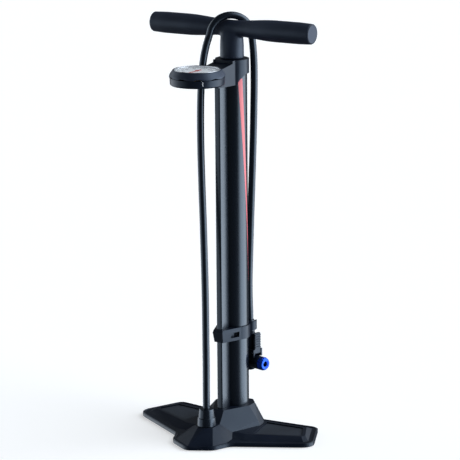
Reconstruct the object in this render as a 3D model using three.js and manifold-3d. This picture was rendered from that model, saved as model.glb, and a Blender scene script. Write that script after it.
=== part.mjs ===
// A floor pump for bicycle tyres: a winged foot, an extruded barrel with an air channel along its
// front, a T-handle on a piston rod, a face-up pressure gauge on an arm of the top collar, and a hose
// that runs from the foot over the handle to a lever head, which is clipped behind the barrel.
//
// Millimetres, +Z up. The origin is on the floor under the barrel's axis. The gauge and the hose
// outlet are on the -Y side, and the handle and the foot's wings lie along X.
import * as THREE from "three";
import { mergeVertices } from "three/addons/utils/BufferGeometryUtils.js";
import { ConvexGeometry } from "three/addons/geometries/ConvexGeometry.js";
import Module from "manifold-3d";

const wasm = await Module();
wasm.setup();

// ---- driving dimensions ----
const GAP = 0.3; // between pieces that touch

const RIM_BOTTOM = 1; // underside of the foot's rim, held off the floor by the rubber feet
const RIM_TOP = 5.5;
const DECK_TOP = 10.5; // raised centre of each wing
const WING_CORNERS = [
  [44.7, -84.8],
  [136.5, -34.4],
  [143.2, -21.6],
  [115.5, 39],
  [30, 30.2],
]; // right half of the foot's outline, from the lobe's notch round to the back
const LOBE_CORNERS = [
  [0, -129],
  [34.4, -110],
];
const BOSS_TOP = 36;
const LOBE_TOP = 22; // flat seat of the hose boot, in front of the boss
const CORNER_CUT = 8; // how far each corner of the foot is rounded along its sides

const BARREL_R = 20.6;
const BORE_R = 17.4;
const CHANNEL_HALF = 4.45; // half-width of the air channel along the barrel's front
const CHANNEL_FRONT = 39.2; // distance of the channel's front face from the barrel's axis
const CHANNEL_BORE = [0, -29.5, 3.2]; // x, y and radius of the air passage
const BARREL_BOTTOM = 20.5;
const PLUG_BOTTOM = 22;
const BARREL_TOP = 513;

const COLLAR_R = 23.5;
const COLLAR_TOP = 531;
const COLLAR_SKIRT = 511; // lower edge of the collar at its sides and back
const ARM_HALF = 16;
const ARM_BOTTOM = 499;

const GAUGE_Y = -88;
const CUP_R = 37.4;
const CUP_BOTTOM = 507;
const CUP_TOP = 517.6;
const GAUGE_TOP = 528.2;
const DIAL_TOP = 525.6;
const INLET_Z = 514.4; // axis of the air passage to the gauge

const HANDLE_Z = 573;
const HANDLE_HALF = 130.8;
const STEM_R = 16.5;
const ROD_R = 6.5;
const PISTON_Z = 50; // underside of the piston with the handle down

const BAND_BOTTOM = 134;
const BAND_TOP = 152;
const HEAD_AXIS = [8, 29.8]; // x and y of the hose and head where the band holds them
const HEAD_Z = 91; // height of the head's nozzle axis
const HEAD_TURN = -12; // degrees that the nozzle is turned from +X towards -Y

const HOSE_R = 5;
const BOOT_Y = -74;
const HOSE_EXIT_Z = 46.5;
const FERRULE_TOP = 152;
const HOSE_ROUTE = [
  [0, BOOT_Y, HOSE_EXIT_Z + GAP],
  [0, -74, 66],
  [-0.6, -72.7, 110],
  [-1.8, -71, 145],
  [-4.2, -67.5, 200],
  [-7.8, -63.3, 257],
  [-12.3, -58.4, 313],
  [-17.2, -53.3, 368],
  [-21.4, -48.3, 422],
  [-23.6, -44.2, 470],
  [-24.5, -40, 503],
  [-24.8, -34.5, 530],
  [-24.8, -27.6, 548],
  [-23.6, -21.4, 562],
  [-20.6, -19, 574.5],
  [-12.8, -12.2, 586],
  [-2.2, -0.6, 590.3],
  [8.4, 11.2, 586.2],
  [15.8, 19.2, 575],
  [18.6, 21.2, 561],
  [20.6, 21.6, 545],
  [22, 21.6, 524],
  [22.2, 21.6, 500],
  [21.4, 21.7, 462],
  [19.6, 22.2, 412],
  [17, 22.8, 357],
  [14.2, 23.4, 300],
  [11.6, 24.2, 245],
  [9.8, 25.4, 210],
  [8.5, 27.8, 180],
  [8, 29.6, 162],
  [HEAD_AXIS[0], HEAD_AXIS[1], FERRULE_TOP + GAP],
];
const HOSE_STEPS = 64;
const SHARPEST_MITRE = 0.35;

// ---- materials ----
function finish(color, roughness, metalness) {
  return new THREE.MeshStandardMaterial({ color, roughness, metalness });
}

const blackPlastic = finish(0x1b1f26, 0.42, 0);
const padPlastic = finish(0x2c3036, 0.7, 0);
const softBlack = finish(0x14161a, 0.75, 0);
const glossRubber = finish(0x0d0f13, 0.3, 0);
const anodised = finish(0x20242c, 0.35, 0.8);
const steel = finish(0xa8abb0, 0.3, 1);
const silver = finish(0xd8dadd, 0.28, 1);
const dialWhite = finish(0xe6e8ea, 0.5, 0);
const needleRed = finish(0xb02820, 0.45, 0);
const clearGlass = new THREE.MeshStandardMaterial({
  color: 0xffffff,
  roughness: 0.05,
  transparent: true,
  opacity: 0.2,
});
const blueMetal = finish(0x1e50c8, 0.25, 0.9);
const brass = finish(0xb08d45, 0.35, 1);

// ---- making and joining solids ----
function solid(geometry) {
  const bare = new THREE.BufferGeometry();
  const source = geometry.index ? geometry.toNonIndexed() : geometry;
  bare.setAttribute("position", source.getAttribute("position").clone());
  const merged = mergeVertices(bare, 1e-4);
  const made = new wasm.Manifold(
    new wasm.Mesh({
      numProp: 3,
      vertProperties: new Float32Array(merged.attributes.position.array),
      triVerts: new Uint32Array(merged.index.array),
    }),
  );
  if (made.volume() < 0) throw new Error("a solid is inside out");
  return made;
}

function join(...solids) {
  return solids.reduce((all, next) => all.add(next));
}

function cut(base, ...tools) {
  return tools.reduce((left, tool) => left.subtract(tool), base);
}

function toGeometry(made) {
  const mesh = made.getMesh();
  const geometry = new THREE.BufferGeometry();
  geometry.setAttribute("position", new THREE.BufferAttribute(new Float32Array(mesh.vertProperties), 3));
  geometry.setIndex(new THREE.BufferAttribute(new Uint32Array(mesh.triVerts), 1));
  return geometry;
}

const group = new THREE.Group();
group.name = "floor_pump";

function piece(name, shape, material, parent = group) {
  const geometry = shape.isBufferGeometry ? shape : toGeometry(shape);
  const mesh = new THREE.Mesh(geometry, material);
  mesh.name = name;
  parent.add(mesh);
  return mesh;
}

function box(low, high) {
  const size = high.map((value, i) => value - low[i]);
  const middle = high.map((value, i) => (value + low[i]) / 2);
  return solid(new THREE.BoxGeometry(...size).translate(...middle));
}

// A round bar between two heights on a vertical axis.
function post(radius, bottom, top, x = 0, y = 0, sides = 24) {
  const bar = new THREE.CylinderGeometry(radius, radius, top - bottom, sides);
  bar.rotateX(Math.PI / 2).translate(x, y, (top + bottom) / 2);
  return solid(bar);
}

// A round bar along X or Y between two points of that axis.
function barX(radius, from, to, y, z, sides = 20) {
  const bar = new THREE.CylinderGeometry(radius, radius, to - from, sides);
  return solid(bar.rotateZ(Math.PI / 2).translate((from + to) / 2, y, z));
}

function barY(radius, from, to, x, z, sides = 16) {
  const bar = new THREE.CylinderGeometry(radius, radius, to - from, sides);
  return solid(bar.translate(x, (from + to) / 2, z));
}

// A turned piece on a vertical axis, from [radius, height] points that run upwards on the outside.
function turned(points, x = 0, y = 0, sides = 24) {
  const profile = points.map(([r, z]) => new THREE.Vector2(r, z));
  const lathe = new THREE.LatheGeometry(profile, sides);
  return solid(lathe.rotateX(Math.PI / 2).translate(x, y, 0));
}

function ring(inner, outer, bottom, top, x = 0, y = 0, sides = 24) {
  return cut(post(outer, bottom, top, x, y, sides), post(inner, bottom - 1, top + 1, x, y, sides));
}

function outline(points) {
  return new THREE.Shape(points.map(([x, y]) => new THREE.Vector2(x, y)));
}

// The point at a distance from a corner towards the next corner, and at most just short of halfway.
function along(corner, next, distance) {
  const side = next.clone().sub(corner);
  return side.setLength(Math.min(distance, side.length() * 0.48)).add(corner);
}

// The same outline with each corner rounded off, from a given distance before it to as far after it.
function roundedOutline(points, distance) {
  const corners = points.map(([x, y]) => new THREE.Vector2(x, y));
  const shape = new THREE.Shape();
  corners.forEach((corner, i) => {
    const before = corners[(i + corners.length - 1) % corners.length];
    const after = corners[(i + 1) % corners.length];
    const start = along(corner, before, distance);
    const end = along(corner, after, distance);
    if (i === 0) shape.moveTo(start.x, start.y);
    else shape.lineTo(start.x, start.y);
    shape.quadraticCurveTo(corner.x, corner.y, end.x, end.y);
  });
  return shape;
}

// A closed anticlockwise loop pulled in by an inset from every edge.
function insetLoop(points, inset) {
  const loop = points.map(([x, y]) => new THREE.Vector2(x, y));
  return loop.map((corner, i) => {
    const before = loop[(i + loop.length - 1) % loop.length];
    const after = loop[(i + 1) % loop.length];
    const arriving = corner.clone().sub(before).normalize();
    const leaving = after.clone().sub(corner).normalize();
    const normal = new THREE.Vector2(-arriving.y, arriving.x);
    const mitre = normal.clone().add(new THREE.Vector2(-leaving.y, leaving.x)).normalize();
    const reach = inset / Math.max(SHARPEST_MITRE, mitre.dot(normal));
    return [corner.x + mitre.x * reach, corner.y + mitre.y * reach];
  });
}

function slab(shape, bottom, top, curveSegments = 10) {
  const made = new THREE.ExtrudeGeometry(shape, { depth: top - bottom, bevelEnabled: false, curveSegments });
  return solid(made.translate(0, 0, bottom));
}

function hull(points) {
  return solid(new ConvexGeometry(points.map((p) => new THREE.Vector3(...p))));
}

// The same points mirrored in the YZ plane as well.
function bothSides(points) {
  return [...points, ...points.map(([x, ...rest]) => [-x, ...rest])];
}

// A tube along a smooth curve through the points, with flat ends.
function tubeAlong(points, radius, steps, sides = 8) {
  const curve = new THREE.CatmullRomCurve3(points.map((p) => new THREE.Vector3(...p)));
  const section = new THREE.Shape();
  section.absarc(0, 0, radius, 0, Math.PI * 2);
  const options = { steps, extrudePath: curve, bevelEnabled: false, curveSegments: sides / 2 };
  return new THREE.ExtrudeGeometry(section, options);
}

// ---- foot ----
function footOutline(inset) {
  const right = [...LOBE_CORNERS, ...WING_CORNERS];
  const left = right
    .slice(1)
    .reverse()
    .map(([x, y]) => [-x, y]);
  return insetLoop([...right, ...left], inset);
}

const DECK_OUTER = [
  [56, -68],
  [130, -27.5],
  [133.5, -20],
  [110, 31.5],
  [38, 23],
]; // foot of the raised deck on the right wing
const DECK_INNER = [
  [50, -50],
  [122, -20],
  [125, -14],
  [108, 19],
  [40, 14],
];
const POCKET = [
  [58, -43],
  [115, -18.5],
  [119, -12.5],
  [104.5, 14.5],
  [48, 9.5],
]; // sunken panel in the right wing's deck
const POCKET_FLOOR = 7.8;

function wingDeck(side) {
  const low = DECK_OUTER.map(([x, y]) => [side * x, y, RIM_TOP - 0.5]);
  const high = DECK_INNER.map(([x, y]) => [side * x, y, DECK_TOP]);
  const root = [
    [side * 12, -52, DECK_TOP],
    [side * 12, 14, DECK_TOP],
    [side * 12, -66, RIM_TOP - 0.5],
    [side * 12, 28, RIM_TOP - 0.5],
  ];
  return hull([...low, ...high, ...root]);
}

// Height of the plane of the boss's front right face over a point of the floor.
function bossFace(x, y) {
  return BOSS_TOP - (740 * (x - 9) - 380 * (y + 43)) / 680;
}

function bossHull(inset) {
  const low = [
    [19 - inset, -82],
    [49 - inset, -8 - inset],
    [47 - inset, 8 - inset],
    [36 - inset, 24 - inset],
    [20 - inset, 30 - inset],
  ].map(([x, y]) => [x, y, RIM_TOP]);
  const middle = [
    [18, -71],
    [44, -8],
  ].map(([x, y]) => [x - inset, y, bossFace(x, y) - inset]);
  const high = [
    [9 - inset / 2, -43],
    [28 - inset, -6],
    [27 - inset, 10],
    [17 - inset, 23 - inset],
  ].map(([x, y]) => [x, y, BOSS_TOP - inset]);
  return hull(bothSides([...low, ...middle, ...high]));
}

function lobeHull(inset) {
  const rim = [
    [0, -123 + inset],
    [30.5 - inset, -106 + inset],
    [39 - inset, -84],
    [34 - inset, -40],
  ].map(([x, y]) => [x, y, RIM_TOP]);
  const ridge = [
    [5, BOOT_Y - 15 + inset],
    [14.5 - inset, BOOT_Y - 7],
    [14.5 - inset, BOOT_Y + 8],
    [10 - inset, -40],
  ].map(([x, y]) => [x, y, LOBE_TOP - inset]);
  return hull(bothSides([...rim, ...ridge]));
}

// The barrel's section, grown by an offset.
function barrelSection(grow) {
  const r = BARREL_R + grow;
  const half = CHANNEL_HALF + grow;
  const front = -(CHANNEL_FRONT + grow);
  const corner = 1.6;
  const meet = Math.asin(half / r);
  const shape = new THREE.Shape();
  shape.moveTo(half, front + corner);
  shape.lineTo(half, -r * Math.cos(meet));
  shape.absarc(0, 0, r, meet - Math.PI / 2, 1.5 * Math.PI - meet, false);
  shape.lineTo(-half, front + corner);
  shape.quadraticCurveTo(-half, front, -half + corner, front);
  shape.lineTo(half - corner, front);
  shape.quadraticCurveTo(half, front, half, front + corner);
  return shape;
}

const PIPE_Z = 12.5; // axis of the pipe from the plug to the boot
const PIPE_R = 4;
const PIPE_SLOT = PIPE_R + 0.6;
const FOOT_PLATE = [2.2, 3.8];
const SCREW_TIP = 6.6;
const SCREW_SPOTS = [
  [-96, -14],
  [96, -14],
];

function footShell() {
  const rim = slab(roundedOutline(footOutline(0), CORNER_CUT), RIM_BOTTOM, RIM_TOP, 5);
  const outside = join(rim, wingDeck(1), wingDeck(-1), bossHull(0), lobeHull(0));
  const inside = join(bossHull(3.2), lobeHull(3.2)).intersect(box([-60, -130, 4.1], [60, 60, 34]));
  const walls = join(
    slab(barrelSection(4), 3, BOSS_TOP, 12),
    post(17, 3, LOBE_TOP, 0, BOOT_Y, 24),
    box([-30, -3, 3], [30, 0, BOSS_TOP]),
  );
  const recess = slab(outline(footOutline(6)), 0, FOOT_PLATE[1] + GAP);
  return cut(
    outside,
    cut(inside, walls),
    recess,
    slab(barrelSection(GAP), BARREL_BOTTOM - GAP, BOSS_TOP + 5, 18),
    box([-PIPE_SLOT, BOOT_Y - PIPE_SLOT, 3], [PIPE_SLOT, 5, PIPE_Z + PIPE_SLOT]),
    box([-PIPE_SLOT, -42, 3], [PIPE_SLOT, 5, BARREL_BOTTOM]),
    post(PIPE_SLOT, 10, LOBE_TOP + 5, 0, BOOT_Y, 24),
    ...[-1, 1].map((side) => join(post(2.3, 2, 24, side * 11, 9, 16), post(4.4, 2, 5.5, side * 11, 9, 20))),
    ...SCREW_SPOTS.map(([x, y]) => post(1.7, 3, SCREW_TIP + GAP, x, y, 16)),
    ...[-1, 1].map((side) => slab(outline(panel(side, 0)), POCKET_FLOOR, DECK_TOP + 1)),
  );
}

// The outline of a wing's sunken panel, pulled in by an inset.
function panel(side, inset) {
  const loop = insetLoop(POCKET, inset);
  return side < 0 ? loop.map(([x, y]) => [-x, y]).reverse() : loop;
}

function treadPad(side) {
  return slab(outline(panel(side, GAP)), POCKET_FLOOR + GAP, POCKET_FLOOR + 1.2);
}

function buildFoot() {
  piece("foot_shell", footShell(), blackPlastic);
  piece("tread_pad_right", treadPad(1), padPlastic);
  piece("tread_pad_left", treadPad(-1), padPlastic);

  const holes = SCREW_SPOTS.map(([x, y]) => post(2.1, 0, 9, x, y, 16));
  const boltHoles = [-1, 1].map((side) => post(4.4, 0, 9, side * 11, 9, 16));
  const plate = slab(outline(footOutline(6 + GAP)), ...FOOT_PLATE);
  piece("foot_plate", cut(plate, ...holes, ...boltHoles), softBlack);

  const padTop = FOOT_PLATE[0] - GAP;
  const pads = { left: [-112, -6, 13], right: [112, -6, 13], front: [0, -106, 11], middle: [0, 0, 9] };
  for (const [name, [x, y, r]] of Object.entries(pads)) {
    piece("rubber_foot_" + name, post(r, 0, padTop, x, y, 28), softBlack);
  }
  SCREW_SPOTS.forEach(([x, y], i) => {
    const screw = join(post(1.4, 1.5, SCREW_TIP, x, y, 12), post(3.2, 0.6, 1.9, x, y, 16));
    piece("plate_screw_" + (i + 1), screw, steel);
  });
}

// ---- barrel, end plug and check valve ----
const PLUG_TOP = 46;
const VALVE_TOP = 37.5;

function buildBarrel() {
  const [x, y, r] = CHANNEL_BORE;
  const tube = cut(
    slab(barrelSection(0), BARREL_BOTTOM, BARREL_TOP, 18),
    post(BORE_R, BARREL_BOTTOM - 1, BARREL_TOP + 1, 0, 0, 40),
    post(r, BARREL_BOTTOM - 1, BARREL_TOP + 1, x, y, 20),
  );
  piece("barrel_tube", tube, anodised);

  const r2 = BORE_R - GAP;
  const plug = cut(
    turned([
      [0, PLUG_BOTTOM],
      [r2, PLUG_BOTTOM],
      [r2, 30],
      [r2 - 1.8, 30],
      [r2 - 1.8, 33.6],
      [r2, 33.6],
      [r2, PLUG_TOP - 1.5],
      [r2 - 1.5, PLUG_TOP],
      [0, PLUG_TOP],
    ]),
    post(2.6, 30, PLUG_TOP + 1, 0, 0, 20),
    post(6.4, 21, VALVE_TOP + GAP, 0, 0, 24),
    ...[-1, 1].map((side) => post(1.9, 21, 29.4, side * 11, 9, 14)),
  );
  piece("end_plug", plug, brass);
  piece("plug_o_ring", ring(r2 - 1.5, r2, 30.3, 33.3, 0, 0, 40), softBlack);
  piece("valve_disc", post(5.6, VALVE_TOP - 2.4, VALVE_TOP, 0, 0, 24), softBlack);

  const turns = 3;
  const stepsPerTurn = 10;
  const low = PLUG_BOTTOM + 1.6;
  const rise = VALVE_TOP - 2.4 - GAP - 0.9 - low;
  const coil = Array.from({ length: turns * stepsPerTurn + 1 }, (_, i) => {
    const angle = (i / stepsPerTurn) * Math.PI * 2;
    return [4.4 * Math.cos(angle), 4.4 * Math.sin(angle), low + (rise * i) / (turns * stepsPerTurn)];
  });
  piece("valve_spring", solid(tubeAlong(coil, 0.5, turns * stepsPerTurn, 6)), steel);

  [-1, 1].forEach((side, i) => {
    const bolt = join(post(1.5, 3, 29, side * 11, 9, 12), post(3.9, 2.3, 5.2, side * 11, 9, 16));
    piece("barrel_bolt_" + (i + 1), bolt.subtract(post(1.6, 2, 4.2, side * 11, 9, 6)), steel);
  });

  const bore = PIPE_R / 2;
  const riser = [PIPE_Z, LOBE_TOP - 0.6, 0, BOOT_Y];
  const pipe = cut(
    join(barY(PIPE_R, BOOT_Y - PIPE_R, -6, 0, PIPE_Z, 24), post(PIPE_R, ...riser, 24)),
    barY(bore, BOOT_Y - bore, -5, 0, PIPE_Z, 12),
    post(bore, PIPE_Z, LOBE_TOP + 1, 0, BOOT_Y, 12),
  );
  piece("air_pipe", pipe, brass);
}

function buildBoot() {
  const seat = LOBE_TOP + GAP;
  const tier = seat + 11.5;
  const profile = [
    [0, seat],
    [13.3, seat],
    [12.3, tier],
    [11.8, tier + 0.4],
    [11.5, tier + 1.2],
    [10.3, HOSE_EXIT_Z - 0.8],
    [9.6, HOSE_EXIT_Z],
    [0, HOSE_EXIT_Z],
  ];
  const bore = post(2.2, LOBE_TOP - 1, HOSE_EXIT_Z + 1, 0, BOOT_Y, 16);
  piece("hose_boot", turned(profile, 0, BOOT_Y, 28).subtract(bore), glossRubber);
}

// ---- top collar ----
function buildCollar() {
  const side = new THREE.Shape();
  side.moveTo(25, COLLAR_TOP);
  side.lineTo(25, COLLAR_SKIRT);
  side.lineTo(-1, COLLAR_SKIRT);
  side.quadraticCurveTo(-13, COLLAR_SKIRT - 4, -15.5, ARM_BOTTOM - 2);
  side.lineTo(-60, ARM_BOTTOM);
  side.lineTo(-60, COLLAR_TOP - 8.5);
  side.lineTo(-23.6, COLLAR_TOP - 3.5);
  side.lineTo(-23.6, COLLAR_TOP);
  const profile = new THREE.ExtrudeGeometry(side, { depth: 60, bevelEnabled: false, curveSegments: 8 });
  // The shape's x and y become Y and Z, and its depth runs along X.
  profile.applyMatrix4(new THREE.Matrix4().set(0, 0, 1, -30, 1, 0, 0, 0, 0, 1, 0, 0, 0, 0, 0, 1));
  const arm = box([-ARM_HALF, -60, ARM_BOTTOM - 4], [ARM_HALF, 0, COLLAR_TOP + 1]);
  const plan = join(post(COLLAR_R, ARM_BOTTOM - 4, COLLAR_TOP + 1, 0, 0, 40), arm);
  const [x, y] = CHANNEL_BORE;
  const collar = cut(
    plan.intersect(solid(profile)),
    slab(barrelSection(GAP), ARM_BOTTOM - 6, BARREL_TOP + GAP, 18),
    post(10.3, BARREL_TOP - 1, COLLAR_TOP + 2, 0, 0, 40),
    post(CUP_R + GAP, CUP_BOTTOM - GAP, COLLAR_TOP, 0, GAUGE_Y, 48),
    post(CUP_R + 1.2, CUP_TOP, COLLAR_TOP, 0, GAUGE_Y, 48),
    post(1.6, BARREL_TOP - 1, BARREL_TOP + 4, x, y, 12),
    barY(2.2, -60, y, x, INLET_Z),
  );
  piece("top_collar", collar, blackPlastic);

  const bush = turned([
    [ROD_R + 0.35, 501],
    [BORE_R - GAP, 501],
    [BORE_R - GAP, BARREL_TOP - GAP],
    [10, BARREL_TOP - GAP],
    [10, COLLAR_TOP - 1.5],
    [ROD_R + 0.35, COLLAR_TOP - 1.5],
    [ROD_R + 0.35, 501],
  ]);
  piece("rod_bush", bush, softBlack);
}

// ---- gauge ----
function buildGauge() {
  const cup = turned(
    [
      [0, CUP_BOTTOM],
      [CUP_R - 1.6, CUP_BOTTOM],
      [CUP_R - 0.4, CUP_BOTTOM + 1.4],
      [CUP_R, CUP_TOP],
      [CUP_R - 2.6, CUP_TOP],
      [CUP_R - 2.6, CUP_BOTTOM + 2.6],
      [0, CUP_BOTTOM + 2.6],
    ],
    0,
    GAUGE_Y,
    40,
  );
  const inlet = barY(2.2, GAUGE_Y + 20, GAUGE_Y + 50, 0, INLET_Z);
  piece("gauge_cup", cup.subtract(inlet), blackPlastic);

  const works = join(
    box([-9, GAUGE_Y + 6, CUP_BOTTOM + 3], [9, GAUGE_Y + 22, CUP_BOTTOM + 9.2]),
    box([-4, GAUGE_Y - 10, CUP_BOTTOM + 3], [4, GAUGE_Y + 8, CUP_BOTTOM + 6]),
    post(3.4, CUP_BOTTOM + 5, DIAL_TOP - 0.8 - GAP, 0, GAUGE_Y, 24),
  );
  const pipe = barY(1.8, GAUGE_Y + 20, -41, 0, INLET_Z);
  piece("gauge_works", join(works, pipe), brass);

  piece("gauge_dial", ring(2.4, 31, DIAL_TOP - 0.8, DIAL_TOP, 0, GAUGE_Y, 40), dialWhite);

  const needleZ = DIAL_TOP + GAP;
  const tip = GAUGE_Y - 25;
  const tail = GAUGE_Y + 9;
  const pointer = [needleZ, needleZ + 0.4].flatMap((z) => bothSides([[0.5, tip, z], [1.3, tail, z]]));
  const axle = post(1, DIAL_TOP - 0.7, needleZ, 0, GAUGE_Y, 12);
  const hub = join(post(2.9, needleZ, needleZ + 0.7, 0, GAUGE_Y, 20), axle);
  piece("gauge_needle", join(hull(pointer), hub), needleRed);

  piece("gauge_lens", post(30, 526.9, 527.6, 0, GAUGE_Y, 40), clearGlass);
  piece("gauge_ring", ring(30.3, 31.8, DIAL_TOP + GAP, GAUGE_TOP, 0, GAUGE_Y, 48), silver);
  const bezel = turned(
    [
      [32.1, CUP_TOP + GAP],
      [CUP_R + 0.8, CUP_TOP + GAP],
      [CUP_R + 0.4, CUP_TOP + 3.3],
      [33.6, 527],
      [32.6, GAUGE_TOP - 0.2],
      [32.1, GAUGE_TOP - 0.2],
      [32.1, CUP_TOP + GAP],
    ],
    0,
    GAUGE_Y,
    48,
  );
  piece("gauge_bezel", bezel, blackPlastic);
}

// ---- handle and piston ----
// The radius of the grip at a distance from the middle.
function gripRadius(x) {
  const swell = 11.2 + 3.6 * THREE.MathUtils.smoothstep(Math.abs(x), 8, 70);
  return swell - 0.9 * THREE.MathUtils.smoothstep(Math.abs(x), 105, HANDLE_HALF);
}

function buildHandle() {
  const stations = [1, 0.985, 0.93, 0.8, 0.64, 0.5, 0.38, 0.27, 0.18, 0.09];
  const rights = stations.map((share) => share * (HANDLE_HALF - 3));
  const xs = [...rights.map((x) => -x), 0, ...rights.reverse()];
  const profile = [new THREE.Vector2(0, xs[0])];
  xs.forEach((x) => profile.push(new THREE.Vector2(gripRadius(x), x)));
  profile.push(new THREE.Vector2(0, xs[xs.length - 1]));
  const bar = solid(new THREE.LatheGeometry(profile, 20).rotateZ(-Math.PI / 2).translate(0, 0, HANDLE_Z));
  const stem = turned([
    [0, COLLAR_TOP + GAP],
    [STEM_R - 0.8, COLLAR_TOP + GAP],
    [STEM_R, COLLAR_TOP + 1.2],
    [STEM_R - 0.2, 557],
    [STEM_R - 1.6, 566],
    [9, 577],
    [0, 579],
  ]);
  const plugHoles = [-1, 1].map((side) => {
    const inner = side * (HANDLE_HALF - 26);
    const outer = side * (HANDLE_HALF + 1);
    return barX(10.2, Math.min(inner, outer), Math.max(inner, outer), 0, HANDLE_Z);
  });
  const grip = cut(
    join(bar, stem),
    post(ROD_R + GAP, COLLAR_TOP - 1, 568, 0, 0, 24),
    barY(1.9, -20, 20, 0, 550, 16),
    ...plugHoles,
  );
  piece("handle_grip", grip, blackPlastic);

  const inner = [9.9, HANDLE_HALF - 20, HANDLE_HALF - 2.4];
  const cover = [gripRadius(HANDLE_HALF) - 0.4, HANDLE_HALF - 2.7, HANDLE_HALF];
  for (const [name, side] of [["left", -1], ["right", 1]]) {
    const bars = [inner, cover].map(([radius, ...ends]) => {
      const [from, to] = side < 0 ? [-ends[1], -ends[0]] : ends;
      return barX(radius, from, to, 0, HANDLE_Z);
    });
    piece("grip_plug_" + name, join(...bars), softBlack);
  }
  piece("handle_pin", barY(1.6, -15.6, 15.6, 0, 550, 14), steel);

  const rodBottom = PISTON_Z + 4;
  const rod = cut(post(ROD_R, rodBottom, 567.5, 0, 0, 32), barY(1.9, -10, 10, 0, 550, 16));
  const hollow = post(4.6, rodBottom + 30, 545, 0, 0, 20);
  const thread = post(2, rodBottom - 1, rodBottom + 31, 0, 0, 16);
  const bored = cut(rod, hollow, thread);
  piece("piston_rod", bored, steel);

  const r = BORE_R - GAP;
  const body = turned([
    [ROD_R + GAP, PISTON_Z + 4],
    [r - 0.4, PISTON_Z + 4],
    [r - 0.4, PISTON_Z + 8],
    [r - 3, PISTON_Z + 8],
    [r - 3, PISTON_Z + 11.6],
    [r - 0.4, PISTON_Z + 11.6],
    [r - 0.4, PISTON_Z + 17],
    [ROD_R + GAP, PISTON_Z + 17],
    [ROD_R + GAP, PISTON_Z + 4],
  ]);
  piece("piston_body", body, blackPlastic);
  piece("piston_seal", ring(r - 2.7, r, PISTON_Z + 8.3, PISTON_Z + 11.3, 0, 0, 40), softBlack);
  const hexagon = post(8.8, PISTON_Z, PISTON_Z + 3.7, 0, 0, 6);
  const nut = join(hexagon, post(1.7, PISTON_Z + 2, PISTON_Z + 14, 0, 0, 12));
  piece("piston_nut", nut, steel);
}

// ---- band and head ----
const headFrame = new THREE.Group();
headFrame.position.set(...HEAD_AXIS, HEAD_Z);
headFrame.rotation.z = THREE.MathUtils.degToRad(HEAD_TURN);
group.add(headFrame);

function buildBand() {
  const prow = hull(
    bothSides([
      [7.2, -40.6, BAND_BOTTOM],
      [19, -12, BAND_BOTTOM],
      [8.2, -43.6, BAND_TOP - 3.5],
      [20.4, -13, BAND_TOP - 3.5],
      [7.4, -41.6, BAND_TOP],
      [19.6, -12, BAND_TOP],
    ]),
  );
  const [hx, hy] = HEAD_AXIS;
  const out = new THREE.Vector2(hx, hy).normalize();
  const tall = [BAND_BOTTOM + 4, BAND_TOP - 1];
  const jaw = post(9.8, ...tall, hx, hy, 36);
  const mouth = new THREE.BoxGeometry(30, 9.6, 40).translate(16, 0, 0);
  mouth.rotateZ(out.angle()).translate(hx, hy, BAND_BOTTOM + 8);
  const band = cut(
    join(post(BARREL_R + 2.3, BAND_BOTTOM, BAND_TOP, 0, 0, 40), prow, jaw),
    slab(barrelSection(GAP), BAND_BOTTOM - 5, BAND_TOP + 5, 18),
    post(7.3, BAND_BOTTOM - 5, BAND_TOP + 5, hx, hy, 36),
    solid(mouth),
    ...[-1, 1].map((side) => {
      const window = new THREE.BoxGeometry(14, 14.5, 7.8);
      window.rotateZ(-side * 0.37).translate(side * 16.7, -22.7, 142.6);
      return solid(window);
    }),
  );
  piece("band_clip", band, blackPlastic);
}

const LEVER_PIVOT = [12.3, 14.5]; // x and z in the head's own frame
const CAP_FACE = 30.5;
const NOZZLE_END = 21;

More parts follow.
